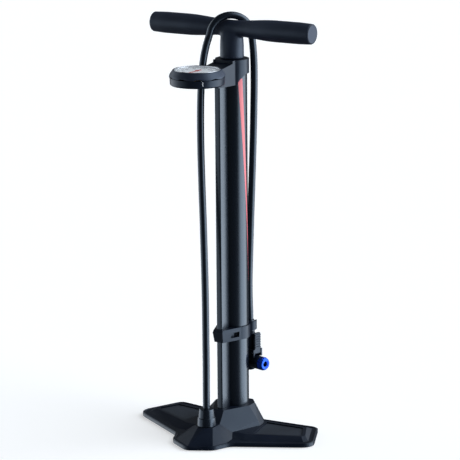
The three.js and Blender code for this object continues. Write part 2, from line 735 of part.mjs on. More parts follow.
function buildHead() {
  const ears = [-1, 1].map((side) => {
    const ear = new THREE.BoxGeometry(12, 2.4, 11).translate(9.6, side * 7.6, LEVER_PIVOT[1] - 0.5);
    return solid(ear);
  });
  const body = cut(
    join(
      turned([
        [0, -12.5],
        [6.2, -12.5],
        [8.2, -10.5],
        [8.2, 39.5],
        [6.9, 42.5],
        [0, 42.5],
      ], 0, 0, 24),
      barX(9.6, 0, NOZZLE_END, 0, 0, 24),
      ...ears,
    ),
    barX(6.3, 10, NOZZLE_END + 1, 0, 0, 24),
    post(2, 0, 47, 0, 0, 12),
    barX(2, 0, 11, 0, 0, 12),
    barY(1.5, -12, 12, LEVER_PIVOT[0], LEVER_PIVOT[1], 14),
    box([10.6, -6.4, 9.9], [20, 6.4, 40]),
  );
  piece("head_body", body, blackPlastic, headFrame);
  const ferrule = cut(
    turned([
      [0, 42.5 + GAP],
      [7, 42.5 + GAP],
      [7, 58.5],
      [6.2, FERRULE_TOP - HEAD_Z],
      [0, FERRULE_TOP - HEAD_Z],
    ], 0, 0, 32),
    post(2, 40, 70, 0, 0, 12),
  );
  piece("head_ferrule", ferrule, glossRubber, headFrame);

  const [px, pz] = LEVER_PIVOT;
  const ribs = Array.from({ length: 6 }, (_, i) => {
    const z = pz + 7 + i * 3.6;
    return box([px + 2.6, -5.4, z], [px + 3.9, 5.4, z + 1.6]);
  });
  const lever = join(
    box([px - 1.2, -5.6, pz - 1], [px + 2.8, 5.6, pz + 28.5]),
    barY(3, -5.6, 5.6, px, pz, 24),
    ...ribs,
  );
  piece("head_lever", lever.subtract(barY(1.5, -8, 8, px, pz, 14)), blackPlastic, headFrame);
  piece("lever_pin", barY(1.2, -8.4, 8.4, px, pz, 14), steel, headFrame);

  const gland = cut(barX(6, 12, NOZZLE_END, 0, 0, 28), barX(3.9, 11, NOZZLE_END + 1, 0, 0, 20));
  piece("head_gland", gland, softBlack, headFrame);
  const teeth = Array.from({ length: 12 }, (_, i) => {
    const angle = (i / 12) * Math.PI * 2;
    return barX(0.9, NOZZLE_END + 1.2, 28.5, 8.8 * Math.cos(angle), 8.8 * Math.sin(angle), 6);
  });
  const cap = cut(
    join(barX(8.9, NOZZLE_END + GAP, CAP_FACE - 1.2, 0, 0, 40), barX(8.1, 24, CAP_FACE, 0, 0, 40), ...teeth),
    barX(4.2, 16, CAP_FACE + 1, 0, 0, 24),
    barX(5.2, CAP_FACE - 0.8, CAP_FACE + 1, 0, 0, 24),
  );
  piece("head_cap", cap, blueMetal, headFrame);
}

function buildHose() {
  piece("hose", solid(tubeAlong(HOSE_ROUTE, HOSE_R, HOSE_STEPS, 8)), glossRubber);
}

buildFoot();
buildBarrel();
buildBoot();
buildCollar();
buildGauge();
buildHandle();
buildBand();
buildHead();
buildHose();

export default group;
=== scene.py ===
"""A black floor bike pump on a pale floor: its studio light, camera, hose route and visible pieces."""

import itertools
import math

import bmesh
import bpy
from mathutils import Matrix, Vector


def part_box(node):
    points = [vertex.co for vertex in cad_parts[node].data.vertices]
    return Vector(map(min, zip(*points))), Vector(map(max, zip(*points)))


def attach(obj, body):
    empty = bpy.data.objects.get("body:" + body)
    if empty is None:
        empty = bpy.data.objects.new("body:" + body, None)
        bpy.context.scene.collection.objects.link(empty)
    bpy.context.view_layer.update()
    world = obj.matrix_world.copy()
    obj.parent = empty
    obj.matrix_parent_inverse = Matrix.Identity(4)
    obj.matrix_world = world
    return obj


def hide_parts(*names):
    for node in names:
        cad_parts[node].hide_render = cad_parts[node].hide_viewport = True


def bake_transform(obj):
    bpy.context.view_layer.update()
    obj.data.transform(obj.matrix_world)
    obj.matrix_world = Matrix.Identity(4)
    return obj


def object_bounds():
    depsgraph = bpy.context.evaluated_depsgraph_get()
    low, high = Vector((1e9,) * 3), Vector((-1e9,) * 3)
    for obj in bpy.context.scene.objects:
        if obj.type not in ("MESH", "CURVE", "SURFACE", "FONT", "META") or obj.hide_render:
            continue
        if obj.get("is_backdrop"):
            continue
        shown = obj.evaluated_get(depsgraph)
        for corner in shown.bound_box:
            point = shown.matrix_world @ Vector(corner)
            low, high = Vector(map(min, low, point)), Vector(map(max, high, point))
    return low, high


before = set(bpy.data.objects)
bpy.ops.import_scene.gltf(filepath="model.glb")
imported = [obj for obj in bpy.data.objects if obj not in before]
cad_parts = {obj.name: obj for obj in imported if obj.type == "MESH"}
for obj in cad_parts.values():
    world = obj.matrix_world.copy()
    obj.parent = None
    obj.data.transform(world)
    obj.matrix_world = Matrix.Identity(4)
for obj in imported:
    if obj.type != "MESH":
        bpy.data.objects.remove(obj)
cad_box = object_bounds()
MM = 0.001  # one millimetre in the scene's metres
scene = bpy.context.scene

# ---- camera: angles, and lengths in metres except the lens and sensor, in millimetres ----
AZIMUTH = math.radians(32.292)
ELEVATION = math.radians(13.567)
ROLL = math.radians(-0.454)
DISTANCE = 3.0572
LENS = 170.6
SENSOR = 36
FAR_CLIP = 50
TARGET = Vector((-0.0055, 0, 0.2871))

# ---- the hose's route, the same points as in the CAD, in metres ----
HOSE_ROUTE = [
    (0, -0.074, 0.0468),
    (0, -0.074, 0.066),
    (-0.0006, -0.0727, 0.11),
    (-0.0018, -0.071, 0.145),
    (-0.0042, -0.0675, 0.2),
    (-0.0078, -0.0633, 0.257),
    (-0.0123, -0.0584, 0.313),
    (-0.0172, -0.0533, 0.368),
    (-0.0214, -0.0483, 0.422),
    (-0.0236, -0.0442, 0.47),
    (-0.0245, -0.04, 0.503),
    (-0.0248, -0.0345, 0.53),
    (-0.0248, -0.0276, 0.548),
    (-0.0236, -0.0214, 0.562),
    (-0.0206, -0.019, 0.5745),
    (-0.0128, -0.0122, 0.586),
    (-0.0022, -0.0006, 0.5903),
    (0.0084, 0.0112, 0.5862),
    (0.0158, 0.0192, 0.575),
    (0.0186, 0.0212, 0.561),
    (0.0206, 0.0216, 0.545),
    (0.022, 0.0216, 0.524),
    (0.0222, 0.0216, 0.5),
    (0.0214, 0.0217, 0.462),
    (0.0196, 0.0222, 0.412),
    (0.017, 0.0228, 0.357),
    (0.0142, 0.0234, 0.3),
    (0.0116, 0.0242, 0.245),
    (0.0098, 0.0254, 0.21),
    (0.0085, 0.0278, 0.18),
    (0.008, 0.0296, 0.162),
    (0.008, 0.0298, 0.1523),
]
HOSE_R = 5 * MM
HOSE_SUBSTEPS = 6
HOSE_SIDES = 24


# ---- studio ----
def build_camera():
    out = Vector(
        (
            math.sin(AZIMUTH) * math.cos(ELEVATION),
            -math.cos(AZIMUTH) * math.cos(ELEVATION),
            math.sin(ELEVATION),
        )
    )
    right = Vector((math.cos(AZIMUTH), math.sin(AZIMUTH), 0))
    up = out.cross(right)
    across = math.cos(ROLL) * right + math.sin(ROLL) * up
    above = -math.sin(ROLL) * right + math.cos(ROLL) * up
    data = bpy.data.cameras.new("camera")
    data.lens = LENS
    data.sensor_width = SENSOR
    data.clip_end = FAR_CLIP
    camera = bpy.data.objects.new("camera", data)
    turn = Matrix((across, above, out)).transposed().to_4x4()
    camera.matrix_world = Matrix.Translation(TARGET + DISTANCE * out) @ turn
    scene.collection.objects.link(camera)
    scene.camera = camera


class Nodes:
    """Short calls for making and linking shader nodes."""

    def __init__(self, tree):
        self.tree = tree
        tree.nodes.clear()

    def add(self, kind, inputs=(), **settings):
        node = self.tree.nodes.new(kind)
        for key, value in settings.items():
            setattr(node, key, value)
        for key, value in dict(inputs).items():
            if isinstance(value, bpy.types.NodeSocket):
                self.tree.links.new(value, node.inputs[key])
            else:
                node.inputs[key].default_value = value
        return node

    def maths(self, operation, a, b=0.0):
        return self.add("ShaderNodeMath", {0: a, 1: b}, operation=operation).outputs[0]

    def ramp(self, value, low, high, out_low=0.0, out_high=1.0):
        inputs = {"Value": value, "From Min": low, "From Max": high, "To Min": out_low, "To Max": out_high}
        return self.add("ShaderNodeMapRange", inputs, interpolation_type="SMOOTHSTEP").outputs[0]


# Lights on the surround: azimuth, half-width to dark and half-width of the full part in degrees, strength.
# A side light then has the two ranges of the direction's upward part over which it fades in and out.
SIDE_LIGHTS = (
    (117, 46, 12, 4.7, (-0.75, -0.4), (0.65, 1.0)),
    (-90, 32, 10, 2.0, (-0.75, -0.4), (0.3, 0.75)),
    (-50, 40, 6, 1.2, (-0.55, -0.25), (0.1, 0.5)),
)
BACK_LIGHT = (160, 40, 12, 1.25)
BACK_LIGHT_ELEVATION = 30
AMBIENT = 0.09
FLOOR_RADIUS = 30
FLOOR_SIDES = 64
FLOOR_GREY = 0.62
FLOOR_ROUGHNESS = 0.9
FLOOR_GLOW = 0.5
STUDIO_TINT = (0.86, 0.93, 1.0, 1)


def light_lobe(n, way, elevation, azimuth, dark, full, strength):
    """The brightness that one soft light gives to a direction."""
    angle = math.radians(azimuth)
    rise = math.radians(elevation)
    axis = (math.sin(angle) * math.cos(rise), -math.cos(angle) * math.cos(rise), math.sin(rise))
    along = n.add("ShaderNodeVectorMath", {0: way, 1: axis}, operation="DOT_PRODUCT").outputs["Value"]
    return n.ramp(along, math.cos(math.radians(dark)), math.cos(math.radians(full)), 0, strength)


def build_world():
    """Tall soft lights round the pump and one behind it, on a dim surround that the camera sees as white."""
    world = bpy.data.worlds.new("studio")
    world.use_nodes = True
    scene.world = world
    n = Nodes(world.node_tree)
    way = n.add("ShaderNodeTexCoord").outputs["Generated"]
    flat = n.add("ShaderNodeVectorMath", {0: way, 1: (1, 1, 0)}, operation="MULTIPLY").outputs[0]
    flat = n.add("ShaderNodeVectorMath", {0: flat}, operation="NORMALIZE").outputs[0]
    height = n.add("ShaderNodeSeparateXYZ", {0: way}).outputs["Z"]
    total = AMBIENT
    for *light, rise, fall in SIDE_LIGHTS:
        lobe = light_lobe(n, flat, 0, *light)
        level = n.maths("MULTIPLY", n.ramp(height, *rise), n.ramp(height, *fall, 1, 0))
        total = n.maths("ADD", n.maths("MULTIPLY", lobe, level), total)
    total = n.maths("ADD", light_lobe(n, way, BACK_LIGHT_ELEVATION, *BACK_LIGHT), total)
    studio = n.add("ShaderNodeBackground", {"Color": STUDIO_TINT, "Strength": total})
    white = n.add("ShaderNodeBackground", {"Color": (1, 1, 1, 1), "Strength": 1.0})
    seen = n.add("ShaderNodeLightPath").outputs["Is Camera Ray"]
    mixed = n.add("ShaderNodeMixShader", {0: seen, 1: studio.outputs[0], 2: white.outputs[0]})
    n.add("ShaderNodeOutputWorld", {0: mixed.outputs[0]})


def build_floor():
    """A pale floor, left out of reflections and shadow rays so that the surround alone lights the pump."""
    angles = [2 * math.pi * i / FLOOR_SIDES for i in range(FLOOR_SIDES)]
    edge = [(FLOOR_RADIUS * math.cos(a), FLOOR_RADIUS * math.sin(a), 0) for a in angles]
    floor = mesh_object("floor", edge, [list(range(FLOOR_SIDES))])
    pale = plain("pale_floor", (FLOOR_GREY, FLOOR_GREY, FLOOR_GREY), FLOOR_ROUGHNESS)
    shader = pale.node_tree.nodes["Principled BSDF"]
    shader.inputs["Emission Color"].default_value = (1, 1, 1, 1)
    shader.inputs["Emission Strength"].default_value = FLOOR_GLOW
    floor.data.materials.append(pale)
    floor.visible_glossy = False
    floor.visible_diffuse = False
    floor.visible_shadow = False
    floor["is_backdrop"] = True


# ---- materials ----
CLOUD_SCALE = 28.0  # patches of uneven colour and gloss, per metre
CLOUD_SPREAD = (0.25, 0.75)
FINE_SPACING = 2  # size of the fine noise and of the specks, in grains
SPECK_SPACING = 3
FINE_SHARE = 0.7  # the fine noise's share of the relief, beside the specks
BUMP_STRENGTH = 0.35
WEAR_REACH = 0.7 * MM  # how far from an edge the paler wear shows
WEAR_TURN = (0.995, 0.9)  # cosines of the edge's turn, from no wear to full wear
WEAR_PATCHES = (0.4, 0.62)
LENS_ROUGHNESS = 0.04
LENS_ALPHA = 0.07


def plain(name, color, roughness):
    material = bpy.data.materials.new(name)
    material.use_nodes = True
    shader = material.node_tree.nodes["Principled BSDF"]
    shader.inputs["Base Color"].default_value = (*color, 1)
    shader.inputs["Roughness"].default_value = roughness
    return material


def textured(
    name,
    color,
    roughness,
    metallic=0.0,
    specular=0.5,
    grain=0.4,
    grain_depth=0.05,
    variation=0.12,
    rough_spread=0.06,
    stretch=(1, 1, 1),
    wear=None,
    tint=(1, 1, 1),
):
    """A surface with a fine grain in millimetres, uneven colour and gloss, and paler worn edges."""
    material = bpy.data.materials.new(name)
    material.use_nodes = True
    n = Nodes(material.node_tree)
    place = n.add("ShaderNodeTexCoord").outputs["Object"]
    place = n.add("ShaderNodeMapping", {"Vector": place, "Scale": stretch}).outputs[0]
    cloud = n.add("ShaderNodeTexNoise", {"Vector": place, "Scale": CLOUD_SCALE, "Detail": 4.0}).outputs["Fac"]
    fine_scale = 1 / (grain * MM * FINE_SPACING)
    fine = n.add("ShaderNodeTexNoise", {"Vector": place, "Scale": fine_scale, "Detail": 2.0}).outputs["Fac"]
    speck_scale = 1 / (grain * MM * SPECK_SPACING)
    speck = n.add("ShaderNodeTexVoronoi", {"Vector": place, "Scale": speck_scale}).outputs["Distance"]
    shade = n.ramp(cloud, *CLOUD_SPREAD)
    dark = tuple(c * (1 - variation) for c in color)
    light = tuple(c * (1 + variation) for c in color)
    body = n.add("ShaderNodeMix", {0: shade, 6: (*dark, 1), 7: (*light, 1)}, data_type="RGBA").outputs[2]
    if wear:
        bare = n.add("ShaderNodeNewGeometry").outputs["Normal"]
        soft = n.add("ShaderNodeBevel", {"Radius": WEAR_REACH}, samples=4).outputs[0]
        turn = n.add("ShaderNodeVectorMath", {0: bare, 1: soft}, operation="DOT_PRODUCT").outputs["Value"]
        edge = n.maths("MULTIPLY", n.ramp(turn, *WEAR_TURN), n.ramp(cloud, *WEAR_PATCHES))
        body = n.add("ShaderNodeMix", {0: edge, 6: body, 7: (*wear, 1)}, data_type="RGBA").outputs[2]
    mottle = n.maths("ADD", cloud, n.maths("MULTIPLY", fine, 0.5))
    gloss = n.ramp(mottle, 0.5, 1.0, roughness - rough_spread, roughness + rough_spread)
    specks = n.maths("MULTIPLY", speck, 1 - FINE_SHARE)
    relief = n.maths("ADD", n.maths("MULTIPLY", fine, FINE_SHARE), specks)
    relief_inputs = {"Height": relief, "Strength": BUMP_STRENGTH, "Distance": grain_depth * MM}
    bump = n.add("ShaderNodeBump", relief_inputs).outputs[0]
    shader = n.add(
        "ShaderNodeBsdfPrincipled",
        {
            "Base Color": body,
            "Roughness": gloss,
            "Metallic": metallic,
            "Specular IOR Level": specular,
            "Specular Tint": (*tint, 1),
            "Normal": bump,
        },
    )
    n.add("ShaderNodeOutputMaterial", {0: shader.outputs[0]})
    return material


def clear_lens():
    """A thin clear cover, nearly all see-through."""
    material = plain("clear_lens", (1, 1, 1), LENS_ROUGHNESS)
    shader = material.node_tree.nodes["Principled BSDF"]
    shader.inputs["Alpha"].default_value = LENS_ALPHA
    return material


# ---- meshes ----
def mesh_object(name, vertices, faces):
    data = bpy.data.meshes.new(name)
    data.from_pydata([tuple(v) for v in vertices], [], faces)
    data.validate()
    made = bpy.data.objects.new(name, data)
    scene.collection.objects.link(made)
    return made


def smooth(made, angle=35):
    """Shades a mesh as smooth except at edges sharper than an angle."""
    for face in made.data.polygons:
        face.use_smooth = True
    made.data.set_sharp_from_angle(angle=math.radians(angle))


def outward(made, angle=35):
    """Turns the faces of a closed mesh outwards and shades it."""
    bm = bmesh.new()
    bm.from_mesh(made.data)
    bmesh.ops.recalc_face_normals(bm, faces=bm.faces)
    bm.to_mesh(made.data)
    bm.free()
    smooth(made, angle)
    return made


def apply_modifiers(made):
    graph = bpy.context.evaluated_depsgraph_get()
    graph.update()
    data = bpy.data.meshes.new_from_object(made.evaluated_get(graph))
    made.modifiers.clear()
    made.data = data


def combine(made, operation, other):
    """Joins another mesh to a mesh or cuts it away, and removes the other."""
    step = made.modifiers.new("combine", "BOOLEAN")
    step.operation = operation
    step.solver = "EXACT"
    step.object = other
    apply_modifiers(made)
    bpy.data.objects.remove(other)


def bevel(made, width, segments=2, angle=30):
    """Rounds the edges sharper than an angle, and shades the result evenly."""
    edge = made.modifiers.new("edges", "BEVEL")
    edge.width = width * MM
    edge.segments = segments
    edge.limit_method = "ANGLE"
    edge.angle_limit = math.radians(angle)
    edge.miter_outer = "MITER_ARC"
    edge.use_clamp_overlap = True
    weighted = made.modifiers.new("shading", "WEIGHTED_NORMAL")
    weighted.keep_sharp = True


def stand_for(made, material, body, slot, *nodes):
    """Gives a new piece its material, and puts it on a body in place of CAD nodes."""
    made.data.materials.clear()
    made.data.materials.append(material)
    if nodes:
        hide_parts(*nodes)
    if body:
        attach(made, body)
    return made


BLOCK_FACES = [(0, 1, 3, 2), (4, 6, 7, 5), (0, 4, 5, 1), (2, 3, 7, 6), (0, 2, 6, 4), (1, 5, 7, 3)]


def block(name, low, high):
    """A box between two corners, in millimetres."""
    corners = [Vector(corner) * MM for corner in itertools.product(*zip(low, high))]
    return outward(mesh_object(name, corners, BLOCK_FACES))


MERGE = 0.002 * MM  # corners closer than this are one corner
FLAT = math.radians(0.6)  # faces that turn less than this are one face


def refined(node, material, body, slot, width, segments=2, angle=30, extra=None):
    """A copy of a CAD node's shape, joined with an extra block if there is one, with its edges rounded."""
    bm = bmesh.new()
    bm.from_mesh(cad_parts[node].data)
    bmesh.ops.remove_doubles(bm, verts=bm.verts, dist=MERGE)
    bmesh.ops.dissolve_limit(bm, angle_limit=FLAT, verts=bm.verts, edges=bm.edges)
    data = bpy.data.meshes.new(node + "_shaped")
    bm.to_mesh(data)
    bm.free()
    made = bpy.data.objects.new(node + "_shaped", data)
    scene.collection.objects.link(made)
    if extra:
        combine(made, "UNION", extra)
    smooth(made, 60)
    if width:
        for edge in made.data.edges:
            edge.use_edge_sharp = False
        bevel(made, width, segments, angle)
    return stand_for(made, material, body, slot, node)


def lathe(name, profile, centre, segments=96, axis="Z"):
    """A turned solid from (radius, height) points in millimetres: axis to axis, or a closed section."""
    vertices = []
    faces = []
    rings = []
    for radius, height in profile:
        if radius == 0:
            rings.append([len(vertices)])
            vertices.append(Vector((0, 0, height)) * MM)
            continue
        rings.append(list(range(len(vertices), len(vertices) + segments)))
        for i in range(segments):
            a = 2 * math.pi * i / segments
            vertices.append(Vector((radius * math.cos(a), radius * math.sin(a), height)) * MM)
    closed = profile[0] == profile[-1] and profile[0][0] > 0
    if closed:
        vertices = vertices[:-segments]
        rings[-1] = rings[0]
    for low, high in zip(rings, rings[1:]):
        for i in range(segments):
            j = (i + 1) % segments
            if len(low) == 1:
                faces.append([high[i], high[j], low[0]])
            elif len(high) == 1:
                faces.append([low[i], low[j], high[0]])
            else:
                faces.append([low[i], low[j], high[j], high[i]])
    turn = {"Z": Matrix.Identity(3), "X": Matrix(((0, 0, 1), (1, 0, 0), (0, 1, 0)))}[axis]
    middle = Vector(centre) * MM
    return outward(mesh_object(name, [turn @ v + middle for v in vertices], faces), 32)


def tube(name, points, radius, sides):
    """A round tube along close points, with flat ends."""
    vertices = []
    across = Vector((1, 0, 0))
    for i, point in enumerate(points):
        ahead = (points[min(i + 1, len(points) - 1)] - points[max(i - 1, 0)]).normalized()
        across = (across - ahead * across.dot(ahead)).normalized()
        side = ahead.cross(across)
        for k in range(sides):
            a = 2 * math.pi * k / sides
            vertices.append(point + radius * (math.cos(a) * across + math.sin(a) * side))
    faces = []
    for i in range(len(points) - 1):
        for k in range(sides):
            m = (k + 1) % sides
            faces.append([i * sides + k, i * sides + m, (i + 1) * sides + m, (i + 1) * sides + k])
    last = (len(points) - 1) * sides
    faces.append(list(range(sides))[::-1])
    faces.append([last + k for k in range(sides)])
    made = mesh_object(name, vertices, faces)
    smooth(made, 40)
    return made


def spline(points, substeps):
    """Catmull-Rom points through a route, with centripetal spacing."""
    pts = [Vector(p) for p in points]
    line = [2 * pts[0] - pts[1], *pts, 2 * pts[-1] - pts[-2]]
    out = []
    for p0, p1, p2, p3 in zip(line, line[1:], line[2:], line[3:]):
        t1 = math.sqrt((p1 - p0).length)
        t2 = t1 + math.sqrt((p2 - p1).length)
        t3 = t2 + math.sqrt((p3 - p2).length)
        for k in range(substeps):
            t = t1 + (t2 - t1) * k / substeps
            a1 = p0.lerp(p1, t / t1)
            a2 = p1.lerp(p2, (t - t1) / (t2 - t1))
            a3 = p2.lerp(p3, (t - t2) / (t3 - t2))
            b1 = a1.lerp(a2, t / t2)
            b2 = a2.lerp(a3, (t - t1) / (t3 - t1))
            out.append(b1.lerp(b2, (t - t1) / (t2 - t1)))
    return [*out, pts[-1]]


# ---- the palette ----
COOL = (0.66, 0.81, 1.0)
MOULDED = textured(
    "moulded_black",
    (0.0045, 0.0072, 0.015),
    0.34,
    specular=0.33,
    grain=0.5,
    grain_depth=0.05,
    wear=(0.03, 0.034, 0.045),
    tint=COOL,
)
# Black plastic for the grip and the bezel, with painted light: its base colour is raised above the moulded
# black's to paint in a front fill light that the studio lacks. Its roughness, grain and paler worn edges are
# its own.
FILL_LIT_BLACK = textured(
    "black_painted_fill",
    (0.015, 0.02, 0.036),
    0.46,
    specular=0.42,
    grain=0.35,
    grain_depth=0.04,
    wear=(0.03, 0.035, 0.05),
    tint=COOL,
)
PAD = textured(
    "pad_grey",
    (0.02, 0.024, 0.032),
    0.5,
    specular=0.45,
    grain=0.9,
    grain_depth=0.14,
    variation=0.2,
    tint=COOL,
)
RUBBER = textured("soft_rubber", (0.008, 0.008, 0.009), 0.7, grain=0.5, grain_depth=0.08)
HOSE = textured(
    "hose_rubber",
    (0.004, 0.006, 0.01),
    0.24,
    specular=0.6,
    grain=0.8,
    grain_depth=0.02,
    rough_spread=0.04,
    tint=COOL,
)
PLAIN = textured(
    "plain_black", (0.006, 0.0065, 0.008), 0.45, specular=0.4, grain=0.4, grain_depth=0.05, tint=COOL
)
END_BLACK = textured(
    "end_black", (0.004, 0.005, 0.008), 0.5, specular=0.22, grain=0.35, grain_depth=0.04, tint=COOL
)
ANODISED = textured(
    "anodised_black",
    (0.002, 0.0036, 0.0075),
    0.25,
    specular=0.72,
    grain=0.25,
    grain_depth=0.012,
    stretch=(1, 1, 0.06),
    wear=(0.05, 0.055, 0.07),
    tint=(0.7, 0.84, 1.0),
)
STRIPE = textured(
    "stripe_red", (0.6, 0.1, 0.12), 0.34, grain=0.25, grain_depth=0.012, variation=0.08, stretch=(1, 1, 0.1)
)
STEEL = textured(
    "steel", (0.55, 0.56, 0.58), 0.28, metallic=1.0, grain=0.2, grain_depth=0.02, stretch=(1, 1, 0.05)
)
SILVER = textured(
    "silver", (0.78, 0.8, 0.83), 0.25, metallic=1.0, grain=0.3, grain_depth=0.01, variation=0.05
)
BRASS = textured("brass", (0.6, 0.42, 0.16), 0.3, metallic=1.0, grain=0.3, grain_depth=0.02)
DIAL = textured("dial_white", (0.86, 0.88, 0.9), 0.45, grain=0.3, grain_depth=0.01, variation=0.03)
INK = plain("dial_ink", (0.02, 0.02, 0.025), 0.5)
RED = textured("needle_red", (0.55, 0.03, 0.02), 0.35, grain=0.3, grain_depth=0.01, variation=0.06)
BLUE = textured(
    "blue_anodised",
    (0.008, 0.055, 0.47),
    0.22,
    metallic=0.85,
    grain=0.25,
    grain_depth=0.02,
    wear=(0.1, 0.25, 0.8),
)
LENS_CLEAR = clear_lens()


def build_hose():
    points = spline(HOSE_ROUTE, HOSE_SUBSTEPS)
    length = sum((b - a).length for a, b in zip(points, points[1:]))
    hose = tube("hose_tube", points, HOSE_R, HOSE_SIDES)
    stand_for(hose, HOSE, None, "hose_rubber", "hose")
    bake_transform(hose)
    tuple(HOSE_ROUTE[0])


# ---- barrel, in millimetres ----
BARREL_R = 20.6
BORE_R = 17.4
CHANNEL_HALF = 4.45
CHANNEL_FRONT = 39.2
CHANNEL_BORE_Y = -29.5
CHANNEL_BORE_R = 3.2
NOSE_ROUND = 1.6
NOSE_STEPS = 6
BARREL_STEPS = 96
BORE_STEPS = 48
CHANNEL_BORE_STEPS = 24


def barrel_outline():
    """The barrel's outer section, anticlockwise: the round part, then the two rounded corners of the nose."""
    meet = math.asin(CHANNEL_HALF / BARREL_R)
    outline = []
    for i in range(BARREL_STEPS + 1):
        a = -math.pi / 2 + meet + (2 * math.pi - 2 * meet) * i / BARREL_STEPS
        outline.append((BARREL_R * math.cos(a), BARREL_R * math.sin(a)))
    for side in (-1, 1):
        corner = []
        for i in range(NOSE_STEPS + 1):
            a = math.pi / 2 * i / NOSE_STEPS
            x = CHANNEL_HALF - NOSE_ROUND + NOSE_ROUND * math.cos(a)
            y = -CHANNEL_FRONT + NOSE_ROUND - NOSE_ROUND * math.sin(a)
            corner.append((side * x, y))
        outline += corner if side < 0 else corner[::-1]
    return outline


def circle(radius, y, steps):
    angles = [2 * math.pi * i / steps for i in range(steps)]
    return [(radius * math.cos(a), y + radius * math.sin(a)) for a in angles]


def extrusion(name, loops, low, high):
    """A straight length of a section: an outer loop, then the loops of its holes."""
    bm = bmesh.new()
    ends = []
    for z in (low, high):
        edges = []
        rows = []
        for loop in loops:
            verts = [bm.verts.new((x * MM, y * MM, z)) for x, y in loop]
            rows.append(verts)
            edges += [bm.edges.new((verts[i], verts[(i + 1) % len(verts)])) for i in range(len(verts))]
        bmesh.ops.triangle_fill(bm, use_beauty=True, use_dissolve=False, edges=edges)
        ends.append(rows)
    for bottom, top in zip(*ends):
        for i in range(len(bottom)):
            j = (i + 1) % len(bottom)
            bm.faces.new((bottom[i], bottom[j], top[j], top[i]))
    bmesh.ops.recalc_face_normals(bm, faces=bm.faces)
    data = bpy.data.meshes.new(name)
    bm.to_mesh(data)
    bm.free()
    made = bpy.data.objects.new(name, data)
    scene.collection.objects.link(made)
    smooth(made, 35)
    return made


STRIPE_TOP = 505
STRIPE_LENGTH = 290
STRIPE_STEPS = 60
STRIPE_ACROSS = 8
STRIPE_NEAR = (54.5, 0.213)  # the near edge's angle at the top, in degrees, and its turn per millimetre down
STRIPE_FAR = (74.5, 0.146)
STRIPE_SINK = 0.05
STRIPE_RISE = 0.08


def build_barrel():
    low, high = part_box("barrel_tube")
    bore = circle(BORE_R, 0.0, BORE_STEPS)
    channel = circle(CHANNEL_BORE_R, CHANNEL_BORE_Y, CHANNEL_BORE_STEPS)
    barrel = extrusion("barrel", [barrel_outline(), bore, channel], low.z, high.z)
    stand_for(barrel, ANODISED, "pump_body", "barrel_aluminium", "barrel_tube")
    build_stripe()


def build_stripe():
    """A thin raised band that winds slowly round the barrel and narrows to a point."""
    vertices = []
    faces = []
    for i in range(STRIPE_STEPS + 1):
        down = STRIPE_LENGTH * i / STRIPE_STEPS
        start, end = (math.radians(angle + turn * down) for angle, turn in (STRIPE_NEAR, STRIPE_FAR))
        for radius in (BARREL_R - STRIPE_SINK, BARREL_R + STRIPE_RISE):
            for k in range(STRIPE_ACROSS + 1):
                a = start + (end - start) * k / STRIPE_ACROSS
                vertices.append(Vector((radius * math.sin(a), -radius * math.cos(a), STRIPE_TOP - down)) * MM)
    layer = STRIPE_ACROSS + 1
    row = 2 * layer
    for base in range(0, STRIPE_STEPS * row, row):
        for inner in range(base, base + STRIPE_ACROSS):
            outer = inner + layer
            faces.append((inner, inner + 1, inner + row + 1, inner + row))
            faces.append((outer, outer + row, outer + row + 1, outer + 1))
        for edge in (base, base + STRIPE_ACROSS):
            faces.append((edge, edge + row, edge + row + layer, edge + layer))
    for base in (0, STRIPE_STEPS * row):
        for inner in range(base, base + STRIPE_ACROSS):
            faces.append((inner, inner + 1, inner + 1 + layer, inner + layer))
    stripe = outward(mesh_object("barrel_stripe", vertices, faces))
    stand_for(stripe, STRIPE, "pump_body", "barrel_aluminium")


# ---- foot and boot, in millimetres ----
WING_CORNERS = [(44.7, -84.8), (136.5, -34.4), (143.2, -21.6), (115.5, 39), (30, 30.2)]
LOBE_CORNERS = [(0, -129), (34.4, -110)]
CORNER_CUT = 8  # where the rounding of a corner starts along each side
CORNER_SHARE = 0.48  # and the most of a short side that it takes
CORNER_STEPS = 8
RIM_TOP = 5.5  # the height of the rim's flat top, where the bead's section has its middle
BEAD_INSET = 2.0
BEAD_R = 1.5
BEAD_FLATNESS = 0.75
BEAD_SIDES = 10
BOOT_HOLE = 2.2
BOOT_BASE_R = 13.3
BOOT_TIER_R = 11.5
BOOT_TIER_Z = 12.0
BOOT_TOP_R = 9.8


def foot_outline(inset):
    """The foot's outline with rounded corners, pulled in by an inset, anticlockwise."""
    right = LOBE_CORNERS + WING_CORNERS
    loop = [Vector(p) for p in right + [(-x, y) for x, y in reversed(right[1:])]]
    pulled = []
    for i, corner in enumerate(loop):
        arriving = (corner - loop[i - 1]).normalized()
        leaving = (loop[(i + 1) % len(loop)] - corner).normalized()
        normal = Vector((-arriving.y, arriving.x))
        mitre = (normal + Vector((-leaving.y, leaving.x))).normalized()
        pulled.append(corner + mitre * inset / mitre.dot(normal))
    points = []
    for i, corner in enumerate(pulled):
        before, after = pulled[i - 1] - corner, pulled[(i + 1) % len(pulled)] - corner
        start = corner + before.normalized() * min(CORNER_CUT, before.length * CORNER_SHARE)
        end = corner + after.normalized() * min(CORNER_CUT, after.length * CORNER_SHARE)
        for k in range(CORNER_STEPS + 1):
            t = k / CORNER_STEPS
            points.append(start * (1 - t) ** 2 + corner * 2 * t * (1 - t) + end * t * t)
    return points


